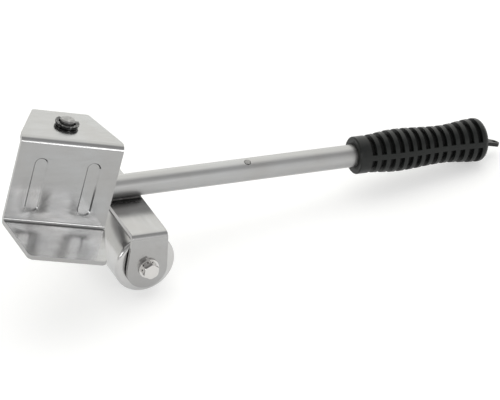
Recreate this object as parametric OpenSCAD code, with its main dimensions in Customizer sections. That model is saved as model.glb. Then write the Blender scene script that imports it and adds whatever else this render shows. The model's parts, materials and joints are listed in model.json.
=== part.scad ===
// Furniture lifting lever: a steel rod with a rubber grip, a fulcrum roller in a U bracket under
// the rod, and a Z-folded lifting shoe that swivels on a pin at the rod's front end.
// The lever is drawn in its own frame (X along the rod to the grip, Z up through the rod, origin
// where the swivel pin's axis crosses the rod's axis) and is then laid down on its roller and grip.

/* [Rod] */
// Outer diameter of the steel tube
rod_d = 16; // [14:0.5:18]
// Wall of the steel tube
rod_wall = 2; // [1.5:0.1:2.5]
// Distance from the swivel pin's axis to the front of the grip
grip_start = 228; // [200:1:260]
// How far the tube runs in front of the swivel pin's axis
rod_front = 11; // [9:0.5:13]
// Distance from the swivel pin's axis to the cross pin
cross_pin_x = 144; // [120:1:160]
// Diameter of the cross pin
cross_pin_d = 4; // [3:0.5:5]
// Angle of the cross pin from upright, towards the near side
cross_pin_roll = 19; // [0:1:45]

/* [Swivel pin] */
// Lean of the swivel pin towards the grip
pin_lean = 8.8; // [6:0.2:11]
// Diameter of the pin where it passes through the shoe
pin_d = 10; // [8:0.5:11]
// Diameter of the post below its shoulder
post_d = 14; // [12.5:0.5:15]
// Height of the shoe's top face above the rod's axis, along the pin
shoe_top = 53; // [48:0.5:58]
// Height of the pin's end above the shoe's top face
pin_proud = 4.9; // [4:0.1:6]
// Direction that the mouth of the retaining clip faces, about the pin
clip_turn = 58; // [-180:1:180]

/* [Lifting shoe] */
// Width of the shoe along its folds
shoe_w = 70; // [66:0.5:74]
// Thickness of the sheet
sheet_t = 3; // [2.5:0.1:3.5]
// Height from the top face of the flange to the top face of the lip
web_h = 61.5; // [58:0.5:63]
// Distance from the pin's axis to the front face of the web
pin_to_web = 23.7; // [22.5:0.1:25]
// Length of the top flange behind the front face of the web
flange_len = 43; // [38:0.5:46]
// Width of the top flange at its back edge
flange_back_w = 39; // [34:0.5:44]
// Length of the lip in front of the web
lip_len = 45; // [40:0.5:48]
// Width of the lip at its front edge
lip_front_w = 52.5; // [46:0.5:56]
// Length of each pressed rib
rib_len = 40; // [34:0.5:42]
// Width of each pressed rib
rib_w = 9.5; // [8:0.5:11]
// Depth that each rib is pressed in
rib_depth = 1; // [0.6:0.1:1.4]
// Run of the sloped wall round each rib
rib_slope = 0.9; // [0.6:0.1:1.2]
// Distance between the two ribs
rib_gap = 36; // [32:0.5:40]
// Turn of the shoe from straight ahead towards the near side
shoe_turn = 81; // [60:1:96]

/* [Roller] */
// Distance from the swivel pin's axis to the roller's axle, along the rod
axle_x = 53.6; // [52:0.2:60]
// Distance from the rod's axis down to the roller's axle
axle_drop = 34; // [33:0.5:38]
// Diameter of the roller
roller_d = 43; // [40:0.5:45]
// Rounding of the roller's edges
roller_round = 3; // [2.6:0.2:6]
// Outer width of the bracket across the roller
bracket_span = 103; // [98:0.5:106]
// Width of the bracket's strip under the rod
strip_w = 25.5; // [24:0.5:27]
// Radius of the rounded ends of the bracket's arms
arm_r = 14.4; // [14:0.1:15.5]
// Distance from the axle down to the middle of an arm's rounded end
arm_tip_drop = 1.3; // [0:0.1:2]
// How far the middle of the bracket sits in front of the axle
bracket_ahead = 0.6; // [0:0.1:1.5]
// Turn of the axle bolt's hexagon head
head_turn = 34; // [0:1:59]

/* [Grip] */
// Length of the grip
grip_len = 102.5; // [100:0.5:105]
// Radius of the plain collar at the front
collar_r = 13.3; // [12.8:0.1:14]
// Radius of the swell in the front half
swell_r = 15.1; // [14.5:0.1:16]
// Radius of the waist in the back half
waist_r = 13.5; // [13:0.1:14.5]
// Radius of the rounded end
end_r = 15.7; // [15:0.1:16.5]
// Number of grooves along the grip
groove_count = 13; // [11:1:13]
// Distance between grooves
groove_pitch = 7; // [6.4:0.1:7.1]
// Width of a groove
groove_w = 3.8; // [2.8:0.1:4.2]
// Depth of a groove
groove_depth = 3.2; // [1.2:0.1:3.4]
// Width of the two plain spines along the grip's sides
spine_w = 3.8; // [3:0.1:4.5]
// Turn of the grip about the tube, which lifts its near spine
grip_roll = 15; // [0:1:20]
// Length of the hanging tab outside the grip
tab_len = 16.5; // [13:0.5:18]
// Droop of the hanging tab below the line of the tube
tab_droop = 14; // [8:1:16]
// Turn of the hanging tab about the tube, which lifts its near edge
tab_roll = 8; // [0:1:15]
// Radius of the hole in the hanging tab
tab_hole_r = 2; // [1.6:0.1:2.2]

/* [Hidden] */
$fn = 64;

steel = "#c4c5c3";
bright_zinc = "#d2d3ce";
dark_steel = "#2b2b2a";
black_rubber = "#2c2d2c";

over = 1;                                  // how far a cutter passes through a face
gap = 0.3;                                 // clearance between bodies that turn past each other
fit = 0.06;                                // running clearance of a shaft in its hole, on radius
snug = 0.03;                               // clearance of a pushed-in piece, on radius
rod_r = rod_d / 2;
pin_r = pin_d / 2;
roller_r = roller_d / 2;

// Swivel stack, as heights along the pin above the rod's axis
thrust_t = 1.5;
clip_washer_t = 1.4;
clip_t = 1;
washer_bottom = shoe_top + gap;
clip_bottom = washer_bottom + clip_washer_t + 0.05;
flange_bottom = shoe_top - sheet_t;
shoulder = flange_bottom - gap - thrust_t;
groove_r = 4;
clip_r = 8.15;
clip_ring_w = 2.3;
thrust_washer_r = 10;
clip_washer_r = 7.6;
clip_mouth = 52;                           // half angle of the retaining clip's mouth

// Bends of the sheet parts
bend_in = 2;
bend_out = bend_in + sheet_t;

// Axle stack, as distances from the rod's middle plane
bolt_r = 3;
head_af = 10;
head_h = 4;
nut_h = 6;
washer_t = 1.5;
washer_r = 7.1;
lock_t = 0.65;
lock_r = 5.6;
tooth_count = 10;
side_t = 1;
bolt_len = 120;
arm_t = 3;
arm_out = bracket_span / 2;
arm_in = arm_out - arm_t;
roller_half = arm_in - side_t - gap;
head_seat = arm_out + washer_t + lock_t;
bolt_tip = bolt_len - head_seat;
sleeve_r = 5;
bush_r = 9;
bush_len = 12;
shell_t = 2.5;

// Rear end of the tube and the hanging plug
rod_end = grip_start + grip_len - 12;
plug_flange_t = 2;
neck_r = 6.2;
tab_t = 2.6;
tab_root_w = 10.6;
tab_end_r = 3.8;
tab_drop = 1;
tab_sunk = 3;                              // length of the tab inside the grip
tab_reach = tab_len + tab_sunk;

// Groove places along the grip
first_groove = 10.7;
end_round = 4.5;

// Tilt that sets both the roller and the grip's end on the ground
reach = grip_start + grip_len - end_round - axle_x;
rise = end_r - end_round - axle_drop;
rest_tilt = asin((roller_r - end_round) / norm([reach, rise])) - atan2(rise, reach);

// A point of the shoe (across, along the pin from the top face, forward) in the lever's frame
function spin_x(p, t) = [p.x, p.y * cos(t) - p.z * sin(t), p.y * sin(t) + p.z * cos(t)];
function spin_z(p, t) = [p.x * cos(t) - p.y * sin(t), p.x * sin(t) + p.y * cos(t), p.z];
function spin_y(p, t) = [p.x * cos(t) + p.z * sin(t), p.y, p.z * cos(t) - p.x * sin(t)];
function shoe_point(a, b, c) = spin_y(spin_z([a, -c, shoe_top + b], shoe_turn - 90), pin_lean);
function laid(p) = spin_y(p, rest_tilt);

// Middle of the laid part's box, from its outermost points
left_x = min(laid(shoe_point(-lip_front_w / 2, -web_h - sheet_t, pin_to_web + lip_len)).x,
             laid(shoe_point(-shoe_w / 2, -web_h, pin_to_web)).x);
function tab_point(along, up) = [grip_start + grip_len - tab_sunk, 0, -tab_drop]
    + spin_x(spin_y([along, 0, up], tab_droop), -tab_roll);
right_x = laid(tab_point(tab_reach, tab_t / 2)).x;
near_y = shoe_point(lip_front_w / 2, 0, pin_to_web + lip_len).y;
mid_x = (left_x + right_x) / 2;
mid_y = (near_y + bolt_tip) / 2;
axle_low = laid([axle_x, 0, -axle_drop]).z;

// Lays the lever down and moves it over the part's origin
module lay_down() {
    translate([-mid_x, -mid_y, roller_r - axle_low]) rotate([0, rest_tilt, 0]) children();
}

// Frame of the swivel pin: Z along the pin, origin on the rod's axis
module on_pin() {
    lay_down() rotate([0, pin_lean, 0]) children();
}

// Frame of the shoe: X across it, -Y forward to the lip, Z = 0 at its top face
module on_shoe() {
    on_pin() translate([0, 0, shoe_top]) rotate([0, 0, shoe_turn - 90]) children();
}

// Frame of the axle: Z along the axle towards the far side, origin on the rod's middle plane
module on_axle() {
    lay_down() translate([axle_x, 0, -axle_drop]) rotate([-90, 0, 0]) children();
}

// A rod along X from x0 to x1
module bar(r, x0, x1) {
    translate([x0, 0, 0]) rotate([0, 90, 0]) cylinder(r = r, h = x1 - x0);
}

// A flat ring from z0 upwards
module ring(r_out, r_in, z0, t) {
    translate([0, 0, z0]) difference() {
        cylinder(r = r_out, h = t);
        translate([0, 0, -over]) cylinder(r = r_in, h = t + 2 * over);
    }
}

// A quarter of a bend, in the first quadrant
module bend_2d(r_out, r_in) {
    intersection() {
        difference() {
            circle(r = r_out);
            circle(r = r_in);
        }
        square(r_out);
    }
}

// A closed outline with round convex corners: points run anticlockwise
function unit(v) = v / norm(v);
function corner_half(a, b, c) = acos(unit(a - b) * unit(c - b)) / 2;
function corner_mid(a, b, c, r) =
    b + unit(unit(a - b) + unit(c - b)) * r / sin(corner_half(a, b, c));
module rounded_outline(points, radii) {
    n = len(points);
    polygon([for (i = [0 : n - 1], side = [-1, 1])
        let (a = points[(i + n - 1) % n], b = points[i], c = points[(i + 1) % n],
             set_back = radii[i] / tan(corner_half(a, b, c)))
        b + unit((side < 0 ? a : c) - b) * set_back]);
    for (i = [0 : n - 1])
        if (radii[i] > 0)
            translate(corner_mid(points[(i + n - 1) % n], points[i], points[(i + 1) % n], radii[i]))
                circle(r = radii[i]);
}

module rod() color(steel) lay_down() difference() {
    bar(rod_r, -rod_front, rod_end);
    bar(rod_r - rod_wall, -rod_front - over, rod_end + over);
    cross_hole(cross_pin_d / 2 + 0.35);
}

// Cutter or pin across the tube
module cross_hole(r, half = 20) {
    translate([cross_pin_x, 0, 0]) rotate([cross_pin_roll, 0, 0])
        cylinder(r = r, h = 2 * half, center = true);
}

stiffener_end = 152;
module stiffener_bar() color(steel) lay_down() difference() {
    bar(rod_r - rod_wall - snug, 1 - rod_front, stiffener_end);
    cross_hole(cross_pin_d / 2 + snug);
}

module cross_pin() color(steel) lay_down() intersection() {
    cross_hole(cross_pin_d / 2);
    bar(rod_r + 0.1, cross_pin_x - cross_pin_d, cross_pin_x + cross_pin_d);
}

// Turned post on the tube: shoulder, pin, clip groove and chamfered end
module pivot_post() color(steel) difference() {
    on_pin() rotate_extrude() polygon([
        [0, 0], [post_d / 2, 0], [post_d / 2, shoulder], [pin_r, shoulder],
        [pin_r, clip_bottom - 0.05], [groove_r, clip_bottom - 0.05],
        [groove_r, clip_bottom + clip_t + 0.05], [pin_r, clip_bottom + clip_t + 0.05],
        [pin_r, shoe_top + pin_proud - 0.8], [pin_r - 0.8, shoe_top + pin_proud],
        [0, shoe_top + pin_proud]]);
    lay_down() bar(rod_r, -50, 50);
}

weld_top = rod_r + 3.5;
weld_foot = 2.6;
module post_weld() color(steel) difference() {
    on_pin() translate([0, 0, 3.5]) difference() {
        union() {
            cylinder(r = post_d / 2 + weld_foot, h = rod_r - 3.5);
            translate([0, 0, rod_r - 3.5])
                cylinder(r1 = post_d / 2 + weld_foot, r2 = post_d / 2 + 0.4, h = weld_top - rod_r);
        }
        translate([0, 0, -over]) cylinder(r = post_d / 2, h = 20);
    }
    lay_down() bar(rod_r, -50, 50);
}

module thrust_washer() color(bright_zinc) on_pin()
    ring(thrust_washer_r, pin_r + 0.15, shoulder, thrust_t);

module clip_washer() color(dark_steel) on_pin()
    ring(clip_washer_r, pin_r + 0.15, washer_bottom, clip_washer_t);

// Retaining clip: an open ring with three prongs that reach into the groove
module e_clip() color(dark_steel) on_pin() translate([0, 0, clip_bottom]) rotate([0, 0, clip_turn])
    linear_extrude(clip_t) {
        difference() {
            circle(r = clip_r);
            circle(r = clip_r - clip_ring_w);
            polygon([[0, 0], [20, 20 * tan(clip_mouth)], [20, -20 * tan(clip_mouth)]]);
        }
        for (turn = [-1, 1]) rotate([0, 0, turn * (clip_mouth + 12)])
            translate([groove_r + 0.25, -1.6]) square([clip_r - groove_r - 0.7, 3.2]);
        rotate([0, 0, 180]) translate([groove_r + 0.25, -1.6]) square([clip_ring_w + 0.3, 3.2]);
    }

// Side view of the folded sheet: X forward, Y up, drawn with the top face at Y = 0
module shoe_side() {
    back = pin_to_web - flange_len;
    web_in = pin_to_web - sheet_t;
    low = -web_h - sheet_t;
    translate([back, -sheet_t]) square([web_in - bend_in - back, sheet_t]);
    translate([web_in - bend_in, -bend_out]) bend_2d(bend_out, bend_in);
    translate([web_in, bend_in - web_h]) square([sheet_t, web_h - bend_out - bend_in]);
    translate([pin_to_web + bend_in, bend_in - web_h]) rotate([0, 0, 180]) bend_2d(bend_out, bend_in);
    translate([pin_to_web + bend_in, low]) square([lip_len - bend_in, sheet_t]);
}

// Plan of the flange and web, seen from above, forward along -Y
module flange_plan() {
    start = pin_to_web - 6;
    rounded_outline([
        [-shoe_w / 2, -pin_to_web - over], [shoe_w / 2, -pin_to_web - over], [shoe_w / 2, -start],
        [flange_back_w / 2, flange_len - pin_to_web], [-flange_back_w / 2, flange_len - pin_to_web],
        [-shoe_w / 2, -start]],
        [0, 0, 6, 2.5, 2.5, 6]);
}

// Plan of the lip and web, seen from above, forward along -Y
module lip_plan() {
    front = -pin_to_web - lip_len;
    rounded_outline([
        [-lip_front_w / 2, front], [lip_front_w / 2, front], [shoe_w / 2, -pin_to_web],
        [shoe_w / 2, sheet_t - pin_to_web + over], [-shoe_w / 2, sheet_t - pin_to_web + over],
        [-shoe_w / 2, -pin_to_web]],
        [4, 4, 0, 0, 0, 0]);
}

// One upright pressed rib with a flat floor, round ends and sloped walls, from the depth of its
// floor behind the web's front face out to front; grow widens it all round
rib_mid = -34;
module rib(depth, front, grow = 0) {
    straight = rib_len - rib_w;
    floor_half = rib_w / 2 - rib_slope + grow;
    face_half = floor_half + (depth + front) * rib_slope / rib_depth;
    translate([0, depth - pin_to_web, rib_mid]) rotate([90, 0, 0]) {
        for (end = [-1, 1]) translate([0, end * straight / 2, 0])
            cylinder(r1 = floor_half, r2 = face_half, h = depth + front);
        rotate([90, 0, 0]) linear_extrude(straight, center = true)
            polygon([[-floor_half, 0], [floor_half, 0], [face_half, depth + front],
                     [-face_half, depth + front]]);
    }
}

module lifting_shoe() color(bright_zinc) on_shoe() difference() {
    union() {
        intersection() {
            rotate([90, 0, -90]) linear_extrude(2 * shoe_w, center = true) shoe_side();
            union() {
                translate([0, 0, -web_h / 2]) linear_extrude(web_h) flange_plan();
                translate([0, 0, -web_h - 2 * sheet_t])
                    linear_extrude(web_h / 2 + 2 * sheet_t) lip_plan();
            }
        }
        for (side = [-1, 1]) translate([side * rib_gap / 2, 0, 0])
            rib(sheet_t + rib_depth, -sheet_t / 2, rib_slope / 2);
    }
    for (side = [-1, 1]) translate([side * rib_gap / 2, 0, 0]) rib(rib_depth, over);
    translate([0, 0, -sheet_t - over]) cylinder(r = pin_r + fit, h = sheet_t + 2 * over);
}

// Cross section of the U strip: X across the roller, Y up from the axle
module strip_section() {
    top = axle_drop - rod_r;
    translate([-arm_out + bend_out, top - arm_t]) square([bracket_span - 2 * bend_out, arm_t]);
    for (side = [0, 1]) mirror([side, 0]) {
        translate([arm_out - bend_out, top - bend_out]) bend_2d(bend_out, bend_in);
        translate([arm_in, -2 * arm_r]) square([arm_t, top - bend_out + 2 * arm_r]);
    }
}

// Face of an arm: straight flanks that run tangent into the round end just below the axle
module arm_face() {
    top = axle_drop - rod_r;
    height = top + arm_tip_drop;
    flank = atan2(height, strip_w / 2) - acos(arm_r / norm([height, strip_w / 2]));
    touch = arm_r * [cos(flank), sin(flank)];
    translate([0, -arm_tip_drop]) {
        polygon([[-strip_w / 2, height], [-touch.x, touch.y], [touch.x, touch.y],
                 [strip_w / 2, height]]);
        circle(r = arm_r);
    }
}

module roller_bracket() color(bright_zinc) lay_down()
    translate([axle_x - bracket_ahead, 0, -axle_drop]) difference() {
        intersection() {
            rotate([90, 0, 90]) linear_extrude(4 * arm_r, center = true) strip_section();
            rotate([90, 0, 0]) linear_extrude(2 * bracket_span, center = true) arm_face();
        }
        translate([bracket_ahead, 0, 0]) rotate([90, 0, 0])
            cylinder(r = bolt_r + 0.3, h = 2 * bracket_span, center = true);
    }

// Two weld beads along the foot of the tube on the strip
bead_r = 1.6;
bead_len = 21;
module bracket_welds() color(steel) lay_down() difference() {
    for (side = [-1, 1])
        translate([axle_x - bracket_ahead, side * 4.6, 0.8 - rod_r]) {
            rotate([0, 90, 0]) cylinder(r = bead_r, h = bead_len, center = true);
            for (end = [-1, 1]) translate([end * bead_len / 2, 0, 0]) sphere(r = bead_r);
        }
    bar(rod_r, 0, 100);
    translate([axle_x - 50, -50, -rod_r - 50]) cube([100, 100, 50]);
}

// A quarter of a drum's outline with one rounded corner
module drum_quarter(r, half, corner) {
    square([r, half - corner]);
    square([r - corner, half]);
    translate([r - corner, half - corner]) intersection() {
        circle(r = corner);
        square(corner);
    }
}

// Half of the hollow roller's outline, with the hole for a bush
module roller_half_section() {
    difference() {
        drum_quarter(roller_r, roller_half, roller_round);
        translate([0, -over]) drum_quarter(roller_r - shell_t, roller_half - shell_t + over,
                                           roller_round - shell_t);
        translate([0, -over]) square([bush_r, roller_half + 2 * over]);
    }
}

module roller() color(bright_zinc) on_axle() rotate_extrude() {
    roller_half_section();
    mirror([0, 1]) roller_half_section();
}

module roller_bushes() color(dark_steel) on_axle()
    for (side = [-1, 1])
        ring(bush_r - snug, sleeve_r + fit, side < 0 ? -roller_half : roller_half - bush_len,
             bush_len);

module axle_sleeve() color(steel) on_axle() ring(sleeve_r, bolt_r + 0.1, -arm_in, 2 * arm_in);

module side_washers() color(steel) on_axle()
    for (z = [-arm_in, arm_in - side_t]) ring(11, sleeve_r + 0.1, z, side_t);

// A hexagon of the given width across flats
module hex(af, h) {
    cylinder(r = af / 2 / cos(30), h = h, $fn = 6);
}

module axle_bolt() color(bright_zinc) on_axle() translate([0, 0, -head_seat]) {
    translate([0, 0, -head_h]) intersection() {
        rotate([0, 0, head_turn]) hex(head_af, head_h);
        translate([0, 0, -3]) cylinder(r1 = 2.2, r2 = 2.2 + 3 + head_h + 2, h = 3 + head_h + 2);
    }
    cylinder(r = bolt_r, h = bolt_len - 0.8);
    translate([0, 0, bolt_len - 0.8]) cylinder(r1 = bolt_r, r2 = bolt_r - 0.8, h = 0.8);
}

module head_washer() color(bright_zinc) on_axle()
    ring(washer_r, bolt_r + 0.2, -arm_out - washer_t, washer_t);

// Lock washer with teeth round its rim
module lock_washer() color(bright_zinc) on_axle() difference() {
    ring(lock_r, bolt_r + 0.1, -head_seat, lock_t);
    for (i = [1 : tooth_count]) rotate([0, 0, i * 360 / tooth_count])
        translate([lock_r - 1.4, -0.6, -head_seat - over]) cube([3, 1.2, lock_t + 2 * over]);
}

module nut_washer() color(bright_zinc) on_axle() ring(washer_r, bolt_r + 0.2, arm_out, washer_t);

// Lock nut: a hexagon with a round collar for its nylon ring
module lock_nut() color(bright_zinc) on_axle() translate([0, 0, arm_out + washer_t]) difference() {
    union() {
        intersection() {
            hex(head_af, nut_h - 1.5);
            translate([0, 0, -1]) cylinder(r1 = 4.6, r2 = 4.6 + nut_h, h = nut_h);
        }
        cylinder(r = head_af / 2 - 0.3, h = nut_h);
    }
    translate([0, 0, -over]) cylinder(r = bolt_r + 0.02, h = nut_h + 2 * over);
}

// Radius of the grip's body at a distance from its front
function ease(a, b, t) = a + (b - a) * (1 - cos(180 * min(1, max(0, t)))) / 2;
swell_at = 33;
waist_at = 70;
function grip_r(x) =
    x < 8 ? collar_r :
    x < swell_at ? ease(collar_r, swell_r, (x - 8) / (swell_at - 8)) :
    x < waist_at ? ease(swell_r, waist_r, (x - swell_at) / (waist_at - swell_at)) :
    ease(waist_r, end_r, (x - waist_at) / (grip_len - end_round - waist_at));

// Outline of the grip's body as radius and distance from its front
module grip_section() {
    step = 3;
    straight = grip_len - end_round;
    polygon([
        [0, 0], [collar_r - 0.8, 0], [collar_r, 0.8],
        for (x = [8 : step : straight - 1]) [grip_r(x), x],
        [end_r, straight],
        for (a = [15 : 15 : 90])
            [end_r - end_round + end_round * cos(a), straight + end_round * sin(a)],
        [0, grip_len]]);
}

module grip() color(black_rubber) lay_down() translate([grip_start, 0, 0])
    rotate([-grip_roll, 0, 0]) rotate([0, 90, 0]) difference() {
        rotate_extrude() grip_section();
        translate([0, 0, -over])
            cylinder(r = rod_r + snug, h = rod_end - grip_start + plug_flange_t + over);
        cylinder(r = neck_r + snug, h = grip_len + over);
        difference() {
            for (i = [0 : groove_count - 1])
                let (at = first_groove + i * groove_pitch)
                    ring(end_r + 3, grip_r(at) - groove_depth, at - groove_w / 2, groove_w);
            translate([-spine_w / 2, -30, 0]) cube([spine_w, 60, grip_len]);
        }
    }

// Plug in the tube's rear end, with a flat hanging tab behind the grip
module hang_plug() color(black_rubber) lay_down() {
    stem = 18;
    bar(rod_r - rod_wall - snug, rod_end - stem, rod_end + over / 2);
    bar(rod_r - snug, rod_end, rod_end + plug_flange_t);
    bar(neck_r, rod_end + plug_flange_t - over / 2, grip_start + grip_len);
    end_mid = tab_reach - tab_end_r;
    translate([grip_start + grip_len - tab_sunk, 0, -tab_drop])
        rotate([-tab_roll, 0, 0]) rotate([0, tab_droop, 0]) translate([0, 0, -tab_t / 2])
            difference() {
                linear_extrude(tab_t) {
                    polygon([[0, 1.6 - neck_r], [tab_sunk + 0.4, -tab_root_w / 2],
                             [end_mid + 0.6, -tab_end_r + 0.04], [end_mid + 0.6, tab_end_r - 0.04],
                             [tab_sunk + 0.4, tab_root_w / 2], [0, neck_r - 1.6]]);
                    translate([end_mid, 0]) circle(r = tab_end_r);
                }
                translate([end_mid, 0, -over]) cylinder(r = tab_hole_r, h = tab_t + 2 * over);
            }
}

rod();
stiffener_bar();
cross_pin();
pivot_post();
post_weld();
thrust_washer();
clip_washer();
e_clip();
lifting_shoe();
roller_bracket();
bracket_welds();
roller();
roller_bushes();
axle_sleeve();
side_washers();
axle_bolt();
head_washer();
lock_washer();
nut_washer();
lock_nut();
grip();
hang_plug();
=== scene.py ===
import json
import math

import bmesh
import bpy
from mathutils import Matrix, Vector, noise


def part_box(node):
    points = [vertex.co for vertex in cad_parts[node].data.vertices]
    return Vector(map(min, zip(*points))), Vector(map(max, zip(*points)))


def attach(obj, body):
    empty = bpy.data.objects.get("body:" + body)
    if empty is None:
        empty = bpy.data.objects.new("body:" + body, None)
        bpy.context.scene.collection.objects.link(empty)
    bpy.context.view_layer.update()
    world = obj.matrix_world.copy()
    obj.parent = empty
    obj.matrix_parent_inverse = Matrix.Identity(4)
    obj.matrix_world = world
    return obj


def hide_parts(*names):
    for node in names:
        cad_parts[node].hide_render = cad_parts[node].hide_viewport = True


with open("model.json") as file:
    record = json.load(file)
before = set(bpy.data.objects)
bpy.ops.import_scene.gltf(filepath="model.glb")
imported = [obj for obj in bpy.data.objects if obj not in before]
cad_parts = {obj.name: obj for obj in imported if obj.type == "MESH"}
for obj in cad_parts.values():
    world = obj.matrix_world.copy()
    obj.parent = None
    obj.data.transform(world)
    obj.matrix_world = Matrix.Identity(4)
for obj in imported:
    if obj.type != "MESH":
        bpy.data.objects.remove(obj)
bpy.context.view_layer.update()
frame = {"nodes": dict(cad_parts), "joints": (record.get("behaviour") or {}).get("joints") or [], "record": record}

MM = 0.001
NODES = frame["nodes"]
JOINTS = {j["name"]: j for j in frame["joints"]}

# ------------------------------------------------------------------ places, from the frame

PIN_AXIS = Vector(JOINTS["shoe_swivel"]["axis"]).normalized()
PIN_POINT = Vector(JOINTS["shoe_swivel"]["pos_m"])
AXLE_POINT = Vector(JOINTS["roller_spin"]["pos_m"])


def mesh_points(node):
    """The corners of a CAD node's mesh."""
    return [v.co.copy() for v in NODES[node].data.vertices]


def rod_line():
    """The middle of the rod's front end, and its direction, from the corners at its ends."""
    points = mesh_points("rod")
    end_share = 0.02
    slant = Vector((PIN_AXIS.z, 0.0, -PIN_AXIS.x))
    for _ in range(3):
        reach = [p.dot(slant) for p in points]
        low, high = min(reach), max(reach)
        span = end_share * (high - low)
        front = [p for p, r in zip(points, reach) if r < low + span]
        rear = [p for p, r in zip(points, reach) if r > high - span]
        a = sum(front, Vector()) / len(front)
        b = sum(rear, Vector()) / len(rear)
        slant = (b - a).normalized()
    return a, slant


ROD_FRONT, ROD_DIR = rod_line()


def web_direction():
    """The way the shoe's web faces: the normal of its biggest upright face."""
    shoe = NODES["lifting_shoe"].data
    level = 0.02
    faces = [f for f in shoe.polygons if abs(f.normal.dot(PIN_AXIS)) < level]
    ahead = max(faces, key=lambda f: f.area).normal.copy()
    return ahead if ahead.y < 0 else -ahead


SHOE_AHEAD = web_direction()
SHOE_ACROSS = SHOE_AHEAD.cross(PIN_AXIS)

# ------------------------------------------------------------------ material building blocks


class Graph:
    """A short way to build a material's nodes."""

    def __init__(self, name):
        self.material = bpy.data.materials.new(name)
        self.material.use_nodes = True
        self.tree = self.material.node_tree
        self.shader = self.tree.nodes["Principled BSDF"]
        self.coords = self.node("ShaderNodeTexCoord").outputs["Object"]

    def node(self, kind, **settings):
        """A new node with some of its settings."""
        made = self.tree.nodes.new(kind)
        for key, value in settings.items():
            setattr(made, key, value)
        return made

    def link(self, source, target):
        """Joins two sockets."""
        self.tree.links.new(source, target)

    def put(self, made, **values):
        """Sets or links inputs by name, with _ for a space."""
        for key, value in values.items():
            socket = made.inputs[key.replace("_", " ")]
            if isinstance(value, bpy.types.NodeSocket):
                self.link(value, socket)
            else:
                socket.default_value = value
        return made

    def mapped(self, scale=(1, 1, 1), turn=(0, 0, 0)):
        """Object coordinates, turned and then stretched."""
        turned = self.node("ShaderNodeMapping", vector_type="TEXTURE")
        self.put(turned, Vector=self.coords, Rotation=turn)
        made = self.node("ShaderNodeMapping")
        return self.put(made, Vector=turned.outputs[0], Scale=scale).outputs[0]

    def noise(self, scale, detail=3.0, rough=0.5, vector=None, distortion=0.0):
        """Cloudy noise about 0.5; scale is in cells per metre."""
        made = self.node("ShaderNodeTexNoise")
        self.put(made, Vector=vector or self.coords, Scale=scale, Detail=detail, Roughness=rough,
                 Distortion=distortion)
        return made.outputs["Fac"]

    def specks(self, scale):
        """Distance to the nearest of many scattered points."""
        made = self.node("ShaderNodeTexVoronoi", feature="F1")
        return self.put(made, Vector=self.coords, Scale=scale).outputs["Distance"]

    def ramp(self, value, low, high, to_low=0.0, to_high=1.0):
        """Maps low..high to to_low..to_high and holds the ends."""
        made = self.node("ShaderNodeMapRange", clamp=True)
        self.put(made, Value=value, From_Min=low, From_Max=high, To_Min=to_low, To_Max=to_high)
        return made.outputs[0]

    def math(self, operation, a, b=0.0):
        """Arithmetic on two values."""
        made = self.node("ShaderNodeMath", operation=operation)
        for socket, value in zip(made.inputs, (a, b)):
            if isinstance(value, bpy.types.NodeSocket):
                self.link(value, socket)
            else:
                socket.default_value = value
        return made.outputs[0]

    def mix(self, factor, a, b):
        """A colour between a and b."""
        made = self.node("ShaderNodeMix", data_type="RGBA")
        for socket, value in ((made.inputs[0], factor), (made.inputs[6], a), (made.inputs[7], b)):
            if isinstance(value, bpy.types.NodeSocket):
                self.link(value, socket)
            else:
                socket.default_value = value if isinstance(value, float) else (*value, 1.0)
        return made.outputs[2]

    def bump(self, height, distance, normal=None):
        """Relief of the given distance in metres, over an earlier relief if there is one."""
        made = self.node("ShaderNodeBump")
        self.put(made, Height=height, Distance=distance, Strength=1.0)
        if normal is not None:
            self.link(normal, made.inputs["Normal"])
        return made.outputs[0]

    def finish(self, colour, roughness, normal=None, **fixed):
        """Connects the shader: colour and roughness are sockets, the rest fixed values."""
        self.put(self.shader, Base_Color=colour, Roughness=roughness)
        if normal is not None:
            self.put(self.shader, Normal=normal)
        for key, value in fixed.items():
            self.shader.inputs[key.replace("_", " ")].default_value = value
        return self.material


def grey(level, warm=0.0):
    """A near-neutral colour, a little warm or cool."""
    return (level * (1 + warm), level, level * (1 - warm))


GRAIN_RELIEF = 0.0000022
# painted shade of the rod on the bracket: how far below the bracket's top it reaches, and its fade
ROD_SHADE_DROP = 9 * MM
ROD_SHADE_FADE = 3 * MM


def painted_rod_shade(g, clouds, middle, reach):
    """Painted shade of the rod on the bracket: 1 on the strip beside its welds, fading to 0 at reach on each side
    of middle.
    """
    split = g.node("ShaderNodeSeparateXYZ")
    g.link(g.coords, split.inputs[0])
    away = g.math("ABSOLUTE", g.math("SUBTRACT", split.outputs["Y"], middle))
    away = g.math("ADD", away, g.math("MULTIPLY", clouds, ROD_SHADE_FADE))
    rod_shade_mask = g.ramp(away, reach * 0.2, reach, 1.0, 0.0)
    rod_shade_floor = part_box("roller_bracket")[1][2] - ROD_SHADE_DROP
    high = g.ramp(split.outputs["Z"], rod_shade_floor, rod_shade_floor + ROD_SHADE_FADE)
    return g.math("MULTIPLY", rod_shade_mask, high)


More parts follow.
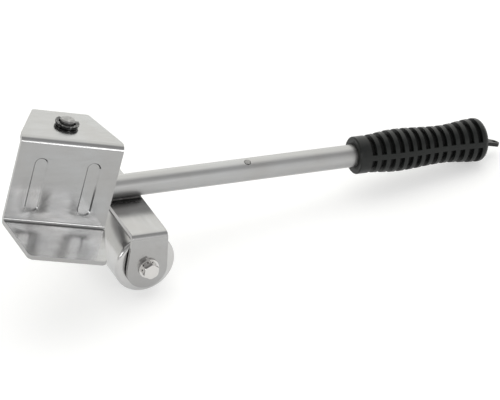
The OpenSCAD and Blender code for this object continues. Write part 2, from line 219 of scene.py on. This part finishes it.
def plated(name, level, rough, grain_turn=(0, 0, 0), grain=(1, 1, 1), wave=0.03 * MM, warm=0.01,
           marks=1.0, heat_tint_and_rod_shade=None):
    """Zinc-plated steel: rolling grain, cloudy passivation, handling scuffs and faint waviness.
    grain stretches the rolling grain after grain_turn, wave is the depth of the waviness and marks
    the strength of grain and scuffs. The last argument is (middle, reach): painted shade of the rod darkens the
    metal there, near black beside the welds."""
    g = Graph(name)
    streaks = g.noise(260.0, 2.0, 0.6, g.mapped(grain, grain_turn))
    clouds = g.noise(32.0, 4.0, 0.55, distortion=0.6)
    specks = g.specks(900.0)
    scuffs = g.ramp(g.noise(120.0, 8.0, 0.75, g.mapped((1, 6, 1), (0.4, 0.7, 0.9))), 0.60, 0.72)
    shade = g.mix(g.ramp(clouds, 0.35, 0.7), grey(level * 0.94, warm), grey(level * 1.05, -warm))
    shade = g.mix(g.ramp(streaks, 0.3, 0.75, to_high=0.3 * marks), shade, grey(level * 0.84, warm))
    shade = g.mix(g.ramp(specks, 0.0, 0.25, 0.10, 0.0), shade, grey(level * 0.6))
    shade = g.mix(g.math("MULTIPLY", scuffs, 0.10 * marks), shade, grey(level * 1.15))
    uneven = g.ramp(streaks, 0.25, 0.8, rough * (1 - 0.15 * marks), rough * (1 + 0.25 * marks))
    roughness = g.math("ADD", uneven, g.math("MULTIPLY", scuffs, 0.05 * marks))
    roughness = g.math("ADD", roughness, g.ramp(clouds, 0.4, 0.7, -0.02, 0.03))
    if heat_tint_and_rod_shade:
        rod_shade_mask = painted_rod_shade(g, clouds, *heat_tint_and_rod_shade)
        # painted shade: the rod's shade on the bracket, near black beside the welds, fading out over the reach
        shade = g.mix(g.math("MULTIPLY", rod_shade_mask, 0.82), shade, grey(level * 0.12, 0.02))
        roughness = g.math("ADD", roughness, g.math("MULTIPLY", rod_shade_mask, 0.14))
    normal = g.bump(g.noise(26.0, 1.0, 0.4), wave)
    normal = g.bump(streaks, GRAIN_RELIEF * marks, normal)
    return g.finish(shade, roughness, normal, Metallic=1.0)


def turned_steel(name, level, rough):
    """Bare machined steel with a fine tooth from the cutter."""
    g = Graph(name)
    tooth = g.noise(420.0, 3.0, 0.7)
    clouds = g.noise(60.0, 3.0)
    shade = g.mix(g.ramp(clouds, 0.3, 0.7), grey(level * 0.8, 0.02), grey(level * 1.1))
    shade = g.mix(g.ramp(tooth, 0.40, 0.60, 0.0, 0.5), shade, grey(level * 0.36, 0.02))
    roughness = g.ramp(tooth, 0.3, 0.7, rough * 0.8, rough * 1.3)
    return g.finish(shade, roughness, g.bump(tooth, 0.04 * MM), Metallic=1.0)


def weld_metal():
    """Plated weld bead with a fine pitted skin, painted near black: partly its own darker tone, partly painted
    shade at the rod's foot.
    """
    g = Graph("weld_metal")
    pits = g.noise(500.0, 4.0, 0.7)
    heat_tint_and_rod_shade = g.noise(90.0, 3.0)
    # painted shade: near-black bead tones stand in for the shade at the rod's foot, mottled by the noise
    shade = g.mix(g.ramp(heat_tint_and_rod_shade, 0.35, 0.65), grey(0.05, 0.03), grey(0.11))
    roughness = g.ramp(pits, 0.3, 0.7, 0.38, 0.6)
    return g.finish(shade, roughness, g.bump(pits, 0.06 * MM), Metallic=1.0)


def spring_steel():
    """Blackened spring steel with bright spots: partly rubbed wear, partly painted highlights."""
    g = Graph("black_spring_steel")
    rub_wear_and_glints = g.ramp(g.noise(380.0, 4.0, 0.7), 0.52, 0.60)
    skin = g.noise(700.0, 2.0)
    # painted highlight: the bright spots are partly rubbed wear and partly painted glints
    shade = g.mix(g.math("MULTIPLY", rub_wear_and_glints, 0.7), grey(0.045), grey(0.26))
    roughness = g.ramp(skin, 0.3, 0.7, 0.22, 0.36)
    return g.finish(shade, roughness, g.bump(skin, 0.02 * MM), Metallic=1.0)


def grip_rubber():
    """Black moulded rubber: fine matt skin, dusty greying on the lands, small flow marks."""
    g = Graph("grip_rubber")
    skin = g.noise(1500.0, 2.0, 0.6)
    flow = g.noise(55.0, 4.0, 0.6, g.mapped((1, 3, 3)))
    dust = g.ramp(g.noise(220.0, 6.0, 0.7), 0.5, 0.75)
    shade = g.mix(g.ramp(flow, 0.3, 0.7), (0.0062, 0.0072, 0.0068), (0.011, 0.0122, 0.0115))
    shade = g.mix(g.math("MULTIPLY", dust, 0.2), shade, (0.035, 0.036, 0.034))
    groove = g.node("ShaderNodeAttribute", attribute_name="groove").outputs["Fac"]
    # painted shade: the grooves are painted near black where shade falls in them
    shade = g.mix(groove, shade, (0.0025, 0.0025, 0.0025))
    roughness = g.math("ADD", g.ramp(flow, 0.3, 0.7, 0.30, 0.40), g.math("MULTIPLY", dust, 0.12))
    roughness = g.math("ADD", roughness, g.math("MULTIPLY", groove, 0.35))
    normal = g.bump(flow, 0.10 * MM)
    normal = g.bump(skin, 0.012 * MM, normal)
    return g.finish(shade, roughness, normal, Metallic=0.0, Specular_IOR_Level=0.26)


def moulded_plastic(name, level, rough):
    """Moulded plastic with a fine spark-eroded skin."""
    g = Graph(name)
    skin = g.noise(1100.0, 3.0, 0.65)
    flow = g.noise(70.0, 3.0)
    shade = g.mix(g.ramp(flow, 0.3, 0.7), grey(level * 0.85), grey(level * 1.2))
    roughness = g.ramp(skin, 0.3, 0.7, rough * 0.85, rough * 1.2)
    return g.finish(shade, roughness, g.bump(skin, 0.015 * MM), Metallic=0.0,
                    Specular_IOR_Level=0.25)


ROD_SLANT = math.atan2(-ROD_DIR.z, ROD_DIR.x)
MATERIALS = {
    "rod_steel": plated("rod_steel", 0.415, 0.37, (0, ROD_SLANT, 0), (0.05, 1, 1), 0.012 * MM),
    "zinc_sheet": plated("zinc_sheet", 0.37, 0.19, (0, ROD_SLANT, 0), (0.12, 1, 1), 0.04 * MM),
    "zinc_hardware": plated("zinc_hardware", 0.66, 0.18, wave=0.01 * MM, warm=0.02),
    "roller_steel": plated("roller_steel", 0.56, 0.22, grain=(0.06, 1, 0.06), wave=0.02 * MM,
                           marks=0.15),
    "plain_steel": turned_steel("plain_steel", 0.34, 0.34),
    "weld_metal": weld_metal(),
    "black_spring_steel": spring_steel(),
    "grip_rubber": grip_rubber(),
    "plug_plastic": moulded_plastic("plug_plastic", 0.013, 0.46),
    "bush_plastic": moulded_plastic("bush_plastic", 0.02, 0.45),
}
# bracket zinc with the painted shade of the rod, 16.5 mm to each side of it
BRACKET_ZINC = plated("bracket_zinc", 0.40, 0.20, grain=(1, 0.12, 1),
                      heat_tint_and_rod_shade=(ROD_FRONT.y, 16.5 * MM))
SLOT_OF = {row["node"]: row["material_slot"] for row in frame["record"]["subparts"]}
BODY_OF = {n: body for body, names in frame["record"]["behaviour"]["bodies"].items() for n in names}


def paint(obj, slot):
    """Gives an object one material."""
    obj.data.materials.clear()
    obj.data.materials.append(MATERIALS[slot])


for node, cad in NODES.items():
    paint(cad, SLOT_OF[node])

# ------------------------------------------------------------------ pieces


WELD_DISTANCE = 1e-6
SHARP_DEGREES = 32.0
EASED_DEGREES = 34.0
FLAT_FACE_WEIGHT = 90


def shade(obj):
    """Smooth shading with hard edges kept, and flat faces kept flat beside their rounds."""
    mesh = obj.data
    for face in mesh.polygons:
        face.use_smooth = True
    bm = bmesh.new()
    bm.from_mesh(mesh)
    for edge in bm.edges:
        edge.smooth = edge.calc_face_angle(0.0) < math.radians(SHARP_DEGREES)
    bm.to_mesh(mesh)
    bm.free()
    weighted = obj.modifiers.new("flat_faces", "WEIGHTED_NORMAL")
    weighted.keep_sharp = True
    weighted.weight = FLAT_FACE_WEIGHT


def add_piece(name, bm, node, material=None):
    """Makes a piece from bmesh that stands for a CAD node and rides on its body."""
    mesh = bpy.data.meshes.new(name)
    bm.to_mesh(mesh)
    bm.free()
    obj = bpy.data.objects.new(name, mesh)
    bpy.context.scene.collection.objects.link(obj)
    slot = SLOT_OF[node]
    obj.data.materials.append(material or MATERIALS[slot])
    shade(obj)
    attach(obj, BODY_OF[node])
    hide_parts(node)
    return obj


def node_copy(node):
    """A CAD node's mesh as one closed skin."""
    bm = bmesh.new()
    bm.from_mesh(NODES[node].data)
    bmesh.ops.remove_doubles(bm, verts=bm.verts, dist=WELD_DISTANCE)
    return bm


def merge_flats(bm, degrees=0.4):
    """Joins the small faces of each flat into one."""
    bmesh.ops.dissolve_limit(bm, angle_limit=math.radians(degrees), verts=bm.verts,
                             edges=bm.edges)


def round_off(bm, edges, width):
    """Rounds the given edges."""
    bmesh.ops.bevel(bm, geom=edges, offset=width, segments=2, profile=0.5, affect="EDGES",
                    clamp_overlap=True)


def ease_edges(bm, width, degrees=EASED_DEGREES):
    """Rounds every edge that is sharper than the angle."""
    limit = math.radians(degrees)
    round_off(bm, [e for e in bm.edges if e.calc_face_angle(0.0) > limit], width)


def cut(bm, place, normal, clear=False):
    """Cuts the skin on a plane, and with clear drops what is past it."""
    bmesh.ops.bisect_plane(bm, geom=bm.verts[:] + bm.edges[:] + bm.faces[:], dist=WELD_DISTANCE,
                           plane_co=place, plane_no=normal, clear_outer=clear)


def slice_through(bm, normal, places):
    """Cuts the skin on parallel planes, so that it can bend."""
    for place in places:
        cut(bm, normal * place, normal)


def eased_piece(node, width, material=None):
    """The CAD node again, with its edges rounded as the real piece's are."""
    bm = node_copy(node)
    merge_flats(bm)
    ease_edges(bm, width)
    return add_piece(node + "_finished", bm, node, material)


# The web of the shoe and its pressed ribs, in millimetres from the pin and the top face
SHOE_WIDTH = 70.0
WEB_FRONT = 23.7
WEB_FOOT = -61.5
RIB_APART = 18.0
RIB_MIDDLE = -34.0
RIB_HALF_STRAIGHT = 15.25
RIB_HALF_WIDTH = 4.75

# How the pressing pulls the sheet in, in millimetres
PULL_DEPTH = 0.45
PULL_REACH = 4.2
SAG_DEPTH = 0.10
TOP_STIFF, TOP_FADE = 7.0, 8.0
FOOT_STIFF, FOOT_FADE = 5.0, 5.0
SIDE_START, SIDE_FADE = 34.0, 5.0
SLICE = 2


def rib_distance(across, up):
    """Distance from a place on the web to the edge of the nearer rib, nought inside it."""
    along = max(abs(up - RIB_MIDDLE) - RIB_HALF_STRAIGHT, 0.0)
    return max(math.hypot(abs(across) - RIB_APART, along) - RIB_HALF_WIDTH, 0.0)


def held(value):
    """The value, held between nought and one."""
    return min(1.0, max(0.0, value))


def draw_in(across, up):
    """How far the sheet is pulled in by the pressing of the ribs."""
    fade = held((-TOP_STIFF - up) / TOP_FADE) * held((up - WEB_FOOT - FOOT_STIFF) / FOOT_FADE)
    fade *= held((SIDE_START - abs(across)) / SIDE_FADE)
    pull = math.exp(-((rib_distance(across, up) / PULL_REACH) ** 2))
    arch = math.sin((up - WEB_FOOT) / -WEB_FOOT * math.pi)
    sag = SAG_DEPTH * math.cos(across / SHOE_WIDTH * math.pi) * arch
    return fade * (PULL_DEPTH * pull + sag)


def shoe_piece():
    """The folded shoe: its web is pulled in softly round the ribs, and its edges are rounded."""
    bm = node_copy("lifting_shoe")
    step = SLICE * MM
    centre, top = PIN_POINT.dot(SHOE_ACROSS), PIN_POINT.dot(PIN_AXIS)
    half = int(SHOE_WIDTH / 2 / SLICE)
    slice_through(bm, SHOE_ACROSS, [centre + i * step for i in range(-half, half + 1)])
    slice_through(bm, PIN_AXIS, [top - i * step for i in range(3, 29)])
    behind, below, above = WEB_FRONT - 4.5, WEB_FOOT + 4.0, -4.0
    for vert in bm.verts:
        offset = (vert.co - PIN_POINT) / MM
        across, up, ahead = (offset.dot(d) for d in (SHOE_ACROSS, PIN_AXIS, SHOE_AHEAD))
        if ahead > behind and below < up < above:
            vert.co -= SHOE_AHEAD * draw_in(across, up) * MM
    merge_flats(bm, 0.05)
    ease_edges(bm, 0.35 * MM, 40.0)
    return add_piece("lifting_shoe_pressed", bm, "lifting_shoe")


BEAD_RIPPLE = 0.16 * MM
BEAD_ROUGHNESS = 0.07 * MM
BEAD_ROUGH_SCALE = 900.0
RIPPLE_SPACING = 1.3 * MM
RIPPLES_ROUND = 34


def weld_piece(node, size, ripple):
    """A weld bead with overlapping ripples across it."""
    bm = node_copy(node)
    low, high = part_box(node)
    bmesh.ops.triangulate(bm, faces=bm.faces)
    for _ in range(3):
        long = [e for e in bm.edges if e.calc_length() > size]
        bmesh.ops.subdivide_edges(bm, edges=long, cuts=1)
        bmesh.ops.triangulate(bm, faces=bm.faces)
    bm.normal_update()
    middle = (Vector(low) + Vector(high)) / 2
    for vert in bm.verts:
        rough = noise.noise(vert.co * BEAD_ROUGH_SCALE) + 1.0
        sunk = BEAD_RIPPLE * ripple(vert.co - middle) + BEAD_ROUGHNESS * rough
        vert.co -= vert.normal * sunk
    return add_piece(node + "_rippled", bm, node)


def ripples_along(offset):
    """Ripples of the two beads along the tube."""
    return 0.5 - 0.5 * math.cos(offset.dot(ROD_DIR) / RIPPLE_SPACING * 2 * math.pi)


def ripples_round(offset):
    """Ripples of the bead round the swivel post."""
    turn = math.atan2(offset.y, offset.x)
    return 0.5 - 0.5 * math.cos(turn * RIPPLES_ROUND)


def ring_of(bm, centre, radii):
    """A ring of corners about the axle's direction."""
    count = len(radii)
    ring = []
    for i, radius in enumerate(radii):
        turn = 2 * math.pi * i / count
        ring.append(bm.verts.new(centre + Vector((math.cos(turn), 0, math.sin(turn))) * radius))
    return ring


def skin(bm, rings):
    """Faces between rings, and a cap at each end."""
    count = len(rings[0])
    for a, b in zip(rings, rings[1:]):
        for i in range(count):
            bm.faces.new((a[i], b[i], b[(i + 1) % count], a[(i + 1) % count]))
    bm.faces.new(rings[0])
    bm.faces.new(rings[-1][::-1])


# The axle bolt and its thread, in millimetres
BOLT_RADIUS = 3.0
HEAD_DEPTH = 4.5
THREAD_PITCH = 1.0
THREAD_DEPTH = 0.45
THREAD_LENGTH = 20.0
THREAD_RUN_OUT = 1.5
THREAD_POINT = 0.9
POINT_DEPTH = 0.7
AROUND, PER_TURN = 40, 8


def thread_radius(along, turn):
    """Radius of the thread at a place along and round the bolt."""
    phase = (along / THREAD_PITCH - turn) % 1.0
    flank = held(abs(phase - 0.5) * 2.6 - 0.2)
    return BOLT_RADIUS - THREAD_DEPTH * flank


def thread_rings(bm, thread_from):
    """Rings of corners along the thread, from the shank to the bolt's pointed end."""
    rings = []
    for k in range(int(THREAD_LENGTH / THREAD_PITCH * PER_TURN) + 1):
        along = k * THREAD_PITCH / PER_TURN
        point = max(0.0, 1.0 - (THREAD_LENGTH - along) / THREAD_POINT) * POINT_DEPTH
        start = min(1.0, along / THREAD_RUN_OUT)
        radii = []
        for i in range(AROUND):
            depth = BOLT_RADIUS - thread_radius(along, i / AROUND)
            radii.append(min(BOLT_RADIUS - depth * start, BOLT_RADIUS - point) * MM)
        centre = Vector((AXLE_POINT.x, thread_from + along * MM, AXLE_POINT.z))
        rings.append(ring_of(bm, centre, radii))
    return rings


def axle_bolt_piece():
    """The axle bolt: chamfered hexagon head and plain shank from the CAD, and a cut thread."""
    bm = node_copy("axle_bolt")
    low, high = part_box("axle_bolt")
    thread_from = high[1] - THREAD_LENGTH * MM
    merge_flats(bm)
    cut(bm, (0, thread_from, 0), (0, 1, 0), clear=True)
    bmesh.ops.holes_fill(bm, edges=[e for e in bm.edges if e.is_boundary])
    sharp, head_end = math.radians(24), low[1] + HEAD_DEPTH * MM
    head = [e for e in bm.edges
            if e.calc_face_angle(0.0) > sharp and all(v.co.y < head_end for v in e.verts)]
    round_off(bm, head, 0.18 * MM)
    skin(bm, thread_rings(bm, thread_from))
    bmesh.ops.recalc_face_normals(bm, faces=bm.faces)
    return add_piece("axle_bolt_threaded", bm, "axle_bolt")


GROOVE_CELL = 9 * MM
GROOVE_START, GROOVE_FADE = 0.8, 1.6


def grip_piece():
    """The grip, with its ribs rounded and its grooves marked for their painted shade and rougher skin."""
    bm = node_copy("grip")
    merge_flats(bm)
    ease_edges(bm, 0.35 * MM)
    layer = bm.verts.layers.float.new("groove")
    crest = {}
    far = []
    for vert in bm.verts:
        offset = vert.co - ROD_FRONT
        along = offset.dot(ROD_DIR)
        out = (offset - ROD_DIR * along).length
        far.append((vert, along, out))
        cell = int(along / GROOVE_CELL)
        crest[cell] = max(crest.get(cell, 0.0), out)
    for vert, along, out in far:
        deep = (crest[int(along / GROOVE_CELL)] - out) / MM
        vert[layer] = held((deep - GROOVE_START) / GROOVE_FADE)
    return add_piece("grip_finished", bm, "grip")


# Rounding of each piece's edges, in millimetres
EDGE_WIDTHS = {
    "hang_plug": 0.45,
    "e_clip": 0.15,
    "clip_washer": 0.2,
    "head_washer": 0.2,
    "nut_washer": 0.2,
    "lock_washer": 0.12,
    "lock_nut": 0.15,
    "pivot_post": 0.2,
    "side_washers": 0.15,
    "roller": 0.3,
    "thrust_washer": 0.2,
    "rod": 0.3,
}
for node, width in EDGE_WIDTHS.items():
    eased_piece(node, width * MM)
eased_piece("roller_bracket", 0.3 * MM, material=BRACKET_ZINC)
grip_piece()
shoe_piece()
weld_piece("bracket_welds", 0.5 * MM, ripples_along)
weld_piece("post_weld", 0.8 * MM, ripples_round)
axle_bolt_piece()

# ------------------------------------------------------------------ floor, light and camera

FLOOR_HALF = 30.0


def floor():
    """A wide floor of pale paper that glows a little, so that shadows stay soft."""
    bm = bmesh.new()
    bmesh.ops.create_grid(bm, x_segments=2, y_segments=2, size=FLOOR_HALF)
    mesh = bpy.data.meshes.new("floor")
    bm.to_mesh(mesh)
    bm.free()
    obj = bpy.data.objects.new("floor", mesh)
    bpy.context.scene.collection.objects.link(obj)
    g = Graph("floor_paper")
    mottle = g.noise(3.0, 2.0)
    colour = g.mix(g.ramp(mottle, 0.3, 0.7), (0.62, 0.62, 0.615), (0.65, 0.65, 0.645))
    paper = g.finish(colour, g.ramp(mottle, 0.3, 0.7, 0.85, 0.9), Emission_Strength=0.46)
    g.shader.inputs["Emission Color"].default_value = (1, 1, 1, 1)
    obj.data.materials.append(paper)


SKY = (
    # Degrees from the front horizon over the top to the back one, brightness, warmth
    (0, 1.00, 0.005),
    (18, 1.05, 0.010),
    (30, 0.95, 0.010),
    (44, 0.62, 0.000),
    (78, 0.55, 0.000),
    (92, 1.20, 0.015),
    (108, 1.52, 0.035),
    (180, 1.52, 0.035),
)
LEFT_WALL = 0.55
LEFT_WALL_FROM, LEFT_WALL_TO = -0.35, 0.15
OBJECT_MIDDLE = Vector((0.0, 0.0, 0.06))
CAMERA_AZIMUTH, CAMERA_ELEVATION, CAMERA_ROLL = -23.54, 33.74, -1.56
CAMERA_DISTANCE = 1.75
CAMERA_TARGET = Vector((-0.0235, -0.0375, 0.0453))
CAMERA_LENS = 186.7


def studio_sky():
    """A soft studio dome: a low bright front wall, a dim ceiling over it and a bright back."""
    world = bpy.data.worlds.new("studio")
    bpy.context.scene.world = world
    world.use_nodes = True
    tree = world.node_tree
    tree.nodes.clear()

    def node(kind, *sources, **settings):
        """A node with its first inputs linked to sockets."""
        made = tree.nodes.new(kind)
        for key, value in settings.items():
            setattr(made, key, value)
        for source, socket in zip(sources, made.inputs):
            tree.links.new(source, socket)
        return made

    coords = node("ShaderNodeTexCoord")
    split = node("ShaderNodeSeparateXYZ", coords.outputs["Generated"])
    ahead = node("ShaderNodeMath", split.outputs["Y"], operation="MULTIPLY")
    ahead.inputs[1].default_value = -1.0
    turn = node("ShaderNodeMath", split.outputs["Z"], ahead.outputs[0], operation="ARCTAN2")
    share = node("ShaderNodeMath", turn.outputs[0], operation="DIVIDE")
    share.inputs[1].default_value = math.pi
    bands = node("ShaderNodeValToRGB", share.outputs[0])
    stops = bands.color_ramp.elements
    while len(stops) < len(SKY):
        stops.new(0.5)
    for stop, (degrees, level, warm) in zip(stops, SKY):
        stop.position = degrees / 180
        stop.color = (level, level, level * (1 - warm), 1.0)
    side = node("ShaderNodeMapRange", split.outputs["X"])
    side.inputs["From Min"].default_value = LEFT_WALL_FROM
    side.inputs["From Max"].default_value = LEFT_WALL_TO
    side.inputs["To Min"].default_value = LEFT_WALL
    side.inputs["To Max"].default_value = 1.0
    back = node("ShaderNodeBackground", bands.outputs[0], side.outputs[0])
    node("ShaderNodeOutputWorld", back.outputs[0])


def soft_box(name, towards, distance, size, power, mirrored=True):
    """A soft area light aimed at the object's middle; metal need not mirror it."""
    light = bpy.data.lights.new(name, "AREA")
    light.shape = "RECTANGLE"
    light.size, light.size_y = size
    light.energy = power
    obj = bpy.data.objects.new(name, light)
    bpy.context.scene.collection.objects.link(obj)
    direction = Vector(towards).normalized()
    obj.location = OBJECT_MIDDLE + direction * distance
    obj.rotation_euler = direction.to_track_quat("Z", "Y").to_euler()
    obj.visible_glossy = mirrored


def camera():
    """The camera on a level tripod, a long lens from the front left and above."""
    angles = (CAMERA_AZIMUTH, CAMERA_ELEVATION, CAMERA_ROLL)
    azimuth, elevation, roll = (math.radians(a) for a in angles)
    back = Vector((math.sin(azimuth) * math.cos(elevation),
                   -math.cos(azimuth) * math.cos(elevation), math.sin(elevation)))
    level = Vector((math.cos(azimuth), math.sin(azimuth), 0.0))
    right = level * math.cos(roll) + back.cross(level) * math.sin(roll)
    up = back.cross(right)
    data = bpy.data.cameras.new("camera")
    data.sensor_width = 36.0
    data.lens = CAMERA_LENS
    data.clip_end = 100.0
    obj = bpy.data.objects.new("camera", data)
    bpy.context.scene.collection.objects.link(obj)
    turn = Matrix((right, up, back)).transposed().to_4x4()
    obj.matrix_world = Matrix.Translation(CAMERA_TARGET + back * CAMERA_DISTANCE) @ turn
    bpy.context.scene.camera = obj


floor()
studio_sky()
soft_box("overhead", (0.1, 0.15, 1.0), 4.0, (5.0, 5.0), 20.0, mirrored=False)
soft_box("left_box", (-0.88, -0.45, 0.30), 3.0, (1.2, 0.8), 10.0)
soft_box("front_card", (0.035, -0.60, 0.25), 0.651, (0.13, 0.16), 0.27)
camera()
bpy.context.scene.view_settings.view_transform = "Standard"
